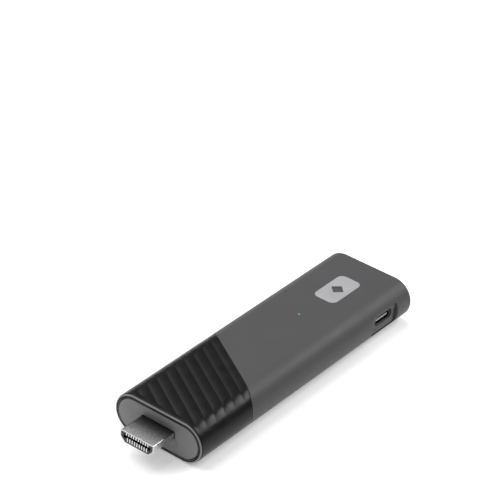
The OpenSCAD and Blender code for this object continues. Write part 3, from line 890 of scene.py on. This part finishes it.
def build_usb_shell():
    """The socket's drawn shell with a rolled mouth."""
    mouth = USB[0].y
    back = USB[1].y
    rolled = mouth + 0.1 * MM
    half_rolled = mouth + 0.02 * MM
    t = SOCKET_WALL

    def ring(inset, y):
        outline = slot_outline(PORT_X, USB_Z, SOCKET_L - 2 * inset, SOCKET_H - 2 * inset)
        return flat_ring(evenly(outline, 96), 1, y)

    rings = [ring(t, back), ring(t, rolled), ring(t * 0.75, half_rolled), ring(t * 0.5, mouth),
             ring(t * 0.25, half_rolled), ring(0, rolled), ring(0, back)]
    bm = bmesh.new()
    loft(bm, rings, closed=True)
    add_socket_feet(bm, mouth, back)
    return finish_mesh("socket_shell", bm, 35)


# ---- materials ----

# The colour sockets of a Mix node, which share their names with its other sockets
MIX_A = 6
MIX_B = 7
MIX_RESULT = 2


def new_material(name):
    """A node material: itself, its nodes, its links and its shader."""
    mat = bpy.data.materials.new(name)
    mat.use_nodes = True
    nodes, links = mat.node_tree.nodes, mat.node_tree.links
    return mat, nodes, links, shader_of(nodes)


def shader_of(nodes):
    """A material's shader node."""
    return next(node for node in nodes if node.type == "BSDF_PRINCIPLED")


def coords(nodes, links, scale=(1.0, 1.0, 1.0)):
    """Object coordinates, stretched."""
    tex = nodes.new("ShaderNodeTexCoord")
    mapping = nodes.new("ShaderNodeMapping")
    mapping.inputs["Scale"].default_value = scale
    links.new(tex.outputs["Object"], mapping.inputs["Vector"])
    return mapping.outputs["Vector"]


def noise(nodes, links, vector, size, detail=3.0, rough=0.55):
    """Noise whose features are about size metres across."""
    tex = nodes.new("ShaderNodeTexNoise")
    tex.inputs["Scale"].default_value = 1.0 / size
    tex.inputs["Detail"].default_value = detail
    tex.inputs["Roughness"].default_value = rough
    links.new(vector, tex.inputs["Vector"])
    return tex.outputs["Fac"]


def ranged(nodes, links, value, low, high, from_low=0.3, from_high=0.7):
    """A value spread over a range; the range it comes from is a noise's usual one unless given."""
    node = nodes.new("ShaderNodeMapRange")
    node.inputs["From Min"].default_value = from_low
    node.inputs["From Max"].default_value = from_high
    node.inputs["To Min"].default_value = low
    node.inputs["To Max"].default_value = high
    links.new(value, node.inputs["Value"])
    return node.outputs["Result"]


def blend_colors(nodes, links, factor, a, b):
    """A colour between two colours."""
    node = nodes.new("ShaderNodeMix")
    node.data_type = "RGBA"
    node.inputs[MIX_A].default_value = (*a, 1)
    node.inputs[MIX_B].default_value = (*b, 1)
    links.new(factor, node.inputs["Factor"])
    return node.outputs[MIX_RESULT]


def lay_over(nodes, links, factor, under, color):
    """A colour laid by a factor over the one that a socket gives."""
    node = nodes.new("ShaderNodeMix")
    node.data_type = "RGBA"
    node.inputs[MIX_B].default_value = (*color, 1)
    links.new(factor, node.inputs["Factor"])
    links.new(under, node.inputs[MIX_A])
    return node.outputs[MIX_RESULT]


def product(nodes, links, a, b):
    """Two values multiplied."""
    node = nodes.new("ShaderNodeMath")
    node.operation = "MULTIPLY"
    links.new(a, node.inputs[0])
    links.new(b, node.inputs[1])
    return node.outputs[0]


def position(nodes, links):
    """The object coordinates one by one: outputs X, Y and Z."""
    split = nodes.new("ShaderNodeSeparateXYZ")
    links.new(coords(nodes, links), split.inputs["Vector"])
    return split.outputs


def mottled(nodes, links, value, color, dark, light):
    """A colour that varies with a noise value, between a darker and a lighter shade of itself."""
    factor = ranged(nodes, links, value, 0, 1)
    return blend_colors(nodes, links, factor, shade(color, dark), shade(color, light))


def bump(nodes, links, shader, layers):
    """Stacks bump layers, each (height, distance in metres, strength), onto a shader."""
    normal = None
    for height, distance, strength in layers:
        node = nodes.new("ShaderNodeBump")
        node.inputs["Distance"].default_value = distance
        node.inputs["Strength"].default_value = strength
        links.new(height, node.inputs["Height"])
        if normal:
            links.new(normal, node.inputs["Normal"])
        normal = node.outputs["Normal"]
    links.new(normal, shader.inputs["Normal"])


def shade(color, k):
    """A colour made k times as light."""
    return tuple(min(1.0, c * k) for c in color)


def moulded(name, color, rough=0.5, spread=0.06, grain=0.12 * MM, depth=0.006 * MM, tone=0.06,
            specular=0.5):
    """Moulded plastic: fine spark-eroded grain, slow tone change, and slightly polished patches."""
    mat, nodes, links, shader = new_material(name)
    at = coords(nodes, links)
    fine = noise(nodes, links, at, grain, 2.0, 0.6)
    slow = noise(nodes, links, at, 14 * MM, 2.0)
    rub = noise(nodes, links, coords(nodes, links, (0.35, 1, 1)), 2.2 * MM, 5.0, 0.65)
    links.new(mottled(nodes, links, slow, color, 1 - tone, 1 + tone), shader.inputs["Base Color"])
    links.new(ranged(nodes, links, rub, rough - spread, rough + spread), shader.inputs["Roughness"])
    shader.inputs["Specular IOR Level"].default_value = specular
    bump(nodes, links, shader, [(fine, depth, 0.8), (rub, depth * 0.6, 0.3)])
    return mat


def glossy(name, color, rough, tone, specular):
    """Polished plastic: hairline polish marks, a slow haze and the fainter sheen of handled patches."""
    mat, nodes, links, shader = new_material(name)
    hair = noise(nodes, links, coords(nodes, links, (0.08, 1, 1)), 0.12 * MM, 3.0, 0.7)
    haze = noise(nodes, links, coords(nodes, links), 5 * MM, 4.0)
    links.new(mottled(nodes, links, haze, color, 1 - tone, 1 + tone), shader.inputs["Base Color"])
    links.new(ranged(nodes, links, haze, rough * 0.85, rough * 1.2), shader.inputs["Roughness"])
    shader.inputs["Specular IOR Level"].default_value = specular
    bump(nodes, links, shader, [(hair, 0.0006 * MM, 0.4)])
    return mat


def banded(mat, color, axis, low, high):
    """Gives a band of the surface, between two positions along an axis, a lighter colour laid over its own."""
    nodes, links = mat.node_tree.nodes, mat.node_tree.links
    base = shader_of(nodes).inputs["Base Color"]
    soft = 0.06 * MM
    along = position(nodes, links)[axis]
    rise = ranged(nodes, links, along, 0, 1, low - soft, low)
    fall = ranged(nodes, links, along, 1, 0, high, high + soft)
    within = product(nodes, links, rise, fall)
    links.new(lay_over(nodes, links, within, base.links[0].from_socket, color), base)
    return mat


def metal(name, color, rough=0.22, along=(0.05, 1, 1), grain=0.06 * MM, tone=0.08):
    """Plated or drawn metal: draw lines along one axis, cloudy plating and small dulled patches."""
    mat, nodes, links, shader = new_material(name)
    shader.inputs["Metallic"].default_value = 1.0
    lines = noise(nodes, links, coords(nodes, links, along), grain, 3.0, 0.7)
    cloud = noise(nodes, links, coords(nodes, links), 1.8 * MM, 4.0, 0.6)
    links.new(mottled(nodes, links, cloud, color, 1 - tone, 1), shader.inputs["Base Color"])
    links.new(ranged(nodes, links, lines, rough * 0.75, rough * 1.3), shader.inputs["Roughness"])
    bump(nodes, links, shader, [(lines, 0.0015 * MM, 0.35), (cloud, 0.0006 * MM, 0.05)])
    return mat


def painted_shade_along_x(mat, color, start, full, low, high):
    """Painted shade: a darker colour laid on from start to full along X, on the part of the surface above low
    to high.
    """
    nodes, links = mat.node_tree.nodes, mat.node_tree.links
    base = shader_of(nodes).inputs["Base Color"]
    at = position(nodes, links)
    back = ranged(nodes, links, at["X"], 0, 1, start, full)
    upper = ranged(nodes, links, at["Z"], 0, 1, low, high)
    within = product(nodes, links, back, upper)
    links.new(lay_over(nodes, links, within, base.links[0].from_socket, color), base)
    return mat


def soft_pad(name, color):
    """Silicone gap filler: dull, slightly mottled, with a woven carrier showing through."""
    mat, nodes, links, shader = new_material(name)
    wave = nodes.new("ShaderNodeTexWave")
    wave.inputs["Scale"].default_value = 1 / (1.2 * MM)
    wave.inputs["Distortion"].default_value = 1.5
    links.new(coords(nodes, links), wave.inputs["Vector"])
    mottle = noise(nodes, links, coords(nodes, links), 0.8 * MM, 4.0)
    links.new(mottled(nodes, links, mottle, color, 0.82, 1.1), shader.inputs["Base Color"])
    links.new(ranged(nodes, links, mottle, 0.6, 0.8), shader.inputs["Roughness"])
    bump(nodes, links, shader, [(wave.outputs["Fac"], 0.02 * MM, 0.4), (mottle, 0.03 * MM, 0.4)])
    return mat


def board(name, mask, bare):
    """Circuit board: solder mask over fine traces and pads, with the laminate's weave beneath."""
    mat, nodes, links, shader = new_material(name)
    at = coords(nodes, links)
    traces = nodes.new("ShaderNodeTexBrick")
    traces.inputs["Scale"].default_value = 1 / (6 * MM)
    traces.inputs["Mortar Size"].default_value = 0.035
    traces.inputs["Color1"].default_value = (0, 0, 0, 1)
    traces.inputs["Color2"].default_value = (0, 0, 0, 1)
    traces.inputs["Mortar"].default_value = (1, 1, 1, 1)
    links.new(at, traces.inputs["Vector"])
    vias = nodes.new("ShaderNodeTexVoronoi")
    vias.inputs["Scale"].default_value = 1 / (2.3 * MM)
    links.new(at, vias.inputs["Vector"])
    dots = ranged(nodes, links, vias.outputs["Distance"], 1, 0, 0.10, 0.14)
    weave = noise(nodes, links, at, 0.3 * MM, 3.0)
    masked = blend_colors(nodes, links, traces.outputs["Color"], mask, shade(mask, 1.8))
    links.new(lay_over(nodes, links, dots, masked, bare), shader.inputs["Base Color"])
    links.new(ranged(nodes, links, weave, 0.22, 0.38), shader.inputs["Roughness"])
    bump(nodes, links, shader, [(traces.outputs["Color"], 0.02 * MM, 0.5), (weave, 0.008 * MM, 0.3)])
    return mat


def lit(name, color, glow, strength):
    """A glowing resin: cloudy body colour with light behind it."""
    mat, nodes, links, shader = new_material(name)
    cloud = noise(nodes, links, coords(nodes, links), 0.25 * MM, 3.0)
    links.new(mottled(nodes, links, cloud, color, 0.85, 1), shader.inputs["Base Color"])
    links.new(ranged(nodes, links, cloud, 0.28, 0.42), shader.inputs["Roughness"])
    links.new(mottled(nodes, links, cloud, glow, 0.8, 1), shader.inputs["Emission Color"])
    shader.inputs["Emission Strength"].default_value = strength
    bump(nodes, links, shader, [(cloud, 0.01 * MM, 0.3)])
    return mat


def film(name, color):
    """Thin polyester film: glossy, with drawn streaks."""
    mat, nodes, links, shader = new_material(name)
    streak = noise(nodes, links, coords(nodes, links, (0.1, 1, 1)), 0.5 * MM, 4.0)
    links.new(mottled(nodes, links, streak, color, 0.85, 1.1), shader.inputs["Base Color"])
    links.new(ranged(nodes, links, streak, 0.18, 0.32), shader.inputs["Roughness"])
    bump(nodes, links, shader, [(streak, 0.01 * MM, 0.3)])
    return mat


def paint(obj, mat):
    """Gives an object one material all over."""
    obj.data.materials.clear()
    obj.data.materials.append(mat)


# ---- pieces and their materials ----

def sleeve_black():
    """The sleeve's gloss black, with a painted highlight along its front lip."""
    mat = glossy("sleeve_black", (0.0088, 0.0088, 0.0092), 0.30, 0.15, 0.12)
    # The pale band just behind the front edge is a painted highlight, standing in for the lip's reflection of
    # a light.
    return banded(mat, (0.24, 0.24, 0.24), "X", X_FRONT + 0.08 * MM, X_FRONT + 0.36 * MM)


def plug_nickel():
    """The plug's plating, with painted shade darkening its top towards the root."""
    color = (0.62, 0.62, 0.62)
    mat = metal("plug_nickel", color, 0.26, tone=0.04)
    top = PLUG[1].z
    # The top darkens towards the root: painted shade standing in for the dark reflection there.
    return painted_shade_along_x(mat, shade(color, 0.16), X_TIP - 1.3 * MM, X_FRONT - 4 * MM, top - 0.5 * MM, top)


def insulator_black():
    """The insulators' black, with the pale nose of the socket's tongue."""
    mat = moulded("insulator_black", (0.012, 0.012, 0.013), 0.4, 0.06, 0.1 * MM, 0.004 * MM)
    return banded(mat, (0.3, 0.3, 0.3), "Y", TONGUE[0].y, TONGUE[0].y + 0.1 * MM)


HOUSING_COLOR = (0.074, 0.074, 0.076)

MATERIALS = {
    "housing_grey": moulded("housing_grey", HOUSING_COLOR, 0.46, 0.04, 0.11 * MM, 0.003 * MM, 0.03, 0.15),
    "sleeve_black": sleeve_black(),
    "end_grey": moulded("end_grey", (0.18, 0.18, 0.182), 0.45, 0.05, 0.1 * MM, 0.002 * MM, 0.03, 0.3),
    "badge_silver": moulded("badge_silver", (0.34, 0.34, 0.35), 0.42, 0.05, 0.08 * MM, 0.002 * MM, 0.04),
    "light_guide": lit("light_guide", (0.10, 0.30, 0.14), (0.06, 0.55, 0.16), 0.25),
    "button_grey": moulded("button_grey", HOUSING_COLOR, 0.46, 0.04, specular=0.15),
    "label_film": film("label_film", (0.05, 0.05, 0.052)),
    "carrier_black": moulded("carrier_black", (0.02, 0.02, 0.02)),
    "screw_steel": metal("screw_steel", (0.62, 0.62, 0.63), 0.3, (1, 1, 0.1)),
    "film_amber": film("film_amber", (0.5, 0.27, 0.03)),
    "board_green": board("board_green", (0.008, 0.10, 0.045), (0.75, 0.62, 0.3)),
    "chip_black": moulded("chip_black", (0.018, 0.018, 0.02), 0.55, 0.08, 0.09 * MM),
    "can_steel": metal("can_steel", (0.62, 0.62, 0.6), 0.3),
    "gap_pad": soft_pad("gap_pad", (0.22, 0.32, 0.5)),
    "spreader_aluminium": metal("spreader_aluminium", (0.74, 0.74, 0.76), 0.38, (1, 1, 1), 0.1 * MM),
    "ferrite_grey": moulded("ferrite_grey", (0.07, 0.07, 0.08), 0.6, 0.1, 0.15 * MM, 0.01 * MM),
    "capacitor_tan": moulded("capacitor_tan", (0.36, 0.22, 0.11), 0.35, 0.08, 0.1 * MM, 0.004 * MM),
    "resistor_black": moulded("resistor_black", (0.015, 0.015, 0.015), 0.3, 0.08, 0.1 * MM, 0.003 * MM),
    "contact_tin": metal("contact_tin", (0.8, 0.8, 0.8), 0.25),
    "contact_gold": metal("contact_gold", (0.86, 0.66, 0.32)),
    "led_white": lit("led_white", (0.7, 0.8, 0.7), (0.1, 0.8, 0.25), 1.0),
    "plug_nickel": plug_nickel(),
    "insulator_black": insulator_black(),
    # The socket's steel gets a near-black colour: painted shade standing in for the shadow inside the port.
    "socket_steel": metal("socket_steel", (0.07, 0.07, 0.072), 0.35, (1, 0.05, 1)),
    "plunger_cream": moulded("plunger_cream", (0.62, 0.56, 0.44), 0.45),
}

SLOT_OF = {s["node"]: s["material_slot"] for s in frame["record"]["subparts"]}
for node_name, node in frame["nodes"].items():
    paint(node, MATERIALS[SLOT_OF[node_name]])


def place(piece, body, node):
    """A finished piece rides its body, stands for its CAD node and takes that node's material."""
    paint(piece, MATERIALS[SLOT_OF[node]])
    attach(piece, body)
    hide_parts(node)


place(build_housing(), "stick", "rear_housing")
place(build_spigot(), "stick", "rear_housing")
place(build_sleeve(), "stick", "ribbed_sleeve")
place(build_end_plate(), "stick", "front_cap")
place(build_plug_shell(), "stick", "hdmi_plug_shell")
place(build_badge(), "stick", "badge_plate")
place(build_light_pipe(), "stick", "light_pipe")
place(build_button(), "button", "reset_button")
place(build_label(), "stick", "rating_label")
place(build_usb_shell(), "stick", "usb_shell")
place(build_port_bezel(), "stick", "port_bezel")


# ---- floor, light and camera ----

def floor_material():
    """Pale, softly clouded and slightly glowing, to come out as an even white."""
    mat, nodes, links, shader = new_material("floor_white")
    cloud = noise(nodes, links, coords(nodes, links), 0.5, 2.0)
    pale = blend_colors(nodes, links, cloud, (0.90, 0.90, 0.90), (0.93, 0.93, 0.93))
    links.new(pale, shader.inputs["Base Color"])
    shader.inputs["Roughness"].default_value = 0.35
    shader.inputs["Specular IOR Level"].default_value = 0.2
    shader.inputs["Emission Color"].default_value = (1, 1, 1, 1)
    shader.inputs["Emission Strength"].default_value = 0.28
    return mat


def build_floor():
    """A wide pale floor a hair beneath the stick."""
    bm = bmesh.new()
    places = [FLOOR_HALF * (2 * i / FLOOR_STEPS - 1) for i in range(FLOOR_STEPS + 1)]
    rows = [add_ring(bm, [(x, y, -FLOOR_GAP) for y in places]) for x in places]
    for a, b in zip(rows, rows[1:]):
        for j in range(FLOOR_STEPS):
            bm.faces.new([a[j], b[j], b[j + 1], a[j + 1]])
    floor = finish_mesh("floor", bm)
    paint(floor, floor_material())


def area_light(name, direction, distance, width, height, power, across=(1, 0, 0)):
    """A soft box facing the middle of the stick, its width laid along the across direction."""
    data = bpy.data.lights.new(name, "AREA")
    data.shape = "RECTANGLE"
    data.size = width
    data.size_y = height
    data.energy = power
    obj = bpy.data.objects.new(name, data)
    bpy.context.scene.collection.objects.link(obj)
    away = Vector(direction).normalized()
    side = (Vector(across) - Vector(across).project(away)).normalized()
    obj.location = away * distance
    obj.rotation_mode = "QUATERNION"
    obj.rotation_quaternion = Matrix((side, away.cross(side), away)).transposed().to_quaternion()


def build_lights():
    """A dim even room and five soft boxes: overhead, main, front, and two that draw the highlights."""
    world = bpy.data.worlds.new("studio")
    bpy.context.scene.world = world
    world.use_nodes = True
    room = world.node_tree.nodes["Background"]
    room.inputs["Color"].default_value = (1, 1, 1, 1)
    room.inputs["Strength"].default_value = 0.14
    area_light("top", (0.0, 0.0, 1.0), 1.1, 1.4, 1.4, 2.2)
    area_light("key", (0.065, 0.48, 0.87), 0.9, 0.9, 0.9, 7.0)
    area_light("front", (-0.45, -0.55, 0.70), 1.0, 0.9, 0.9, 1.2)
    area_light("strip", (0.685, -0.37, 0.625), 0.9, 0.44, 0.14, 4.3, (0, 0.87, 0.5))
    area_light("rim", (-0.535, 0.494, 0.685), 0.9, 0.3, 0.3, 1.2)


def build_camera():
    """The view from the plug's side and above, with the stick low in the frame and to the right."""
    azimuth = math.radians(-54.203)
    elevation = math.radians(32.367)
    roll = math.radians(4.464)
    distance = 817.67 * MM
    across = 9.374 * MM
    rise = -44.788 * MM
    level = math.cos(elevation)
    back = Vector((math.sin(azimuth) * level, -math.cos(azimuth) * level, math.sin(elevation)))
    flat_right = Vector((math.cos(azimuth), math.sin(azimuth), 0))
    flat_up = back.cross(flat_right)
    right = flat_right * math.cos(roll) + flat_up * math.sin(roll)
    up = flat_up * math.cos(roll) - flat_right * math.sin(roll)
    data = bpy.data.cameras.new("camera")
    data.sensor_width = 36
    data.lens = 178.63
    data.clip_start = 0.01
    data.clip_end = 20
    camera = bpy.data.objects.new("camera", data)
    bpy.context.scene.collection.objects.link(camera)
    middle = Vector(((X_FRONT + X_BACK) / 2, 0, 0))
    camera.location = middle + back * distance - right * across - up * rise
    camera.rotation_mode = "QUATERNION"
    camera.rotation_quaternion = Matrix((right, up, back)).transposed().to_quaternion()
    bpy.context.scene.camera = camera


build_floor()
build_lights()
build_camera()
bpy.context.scene.view_settings.view_transform = "Standard"
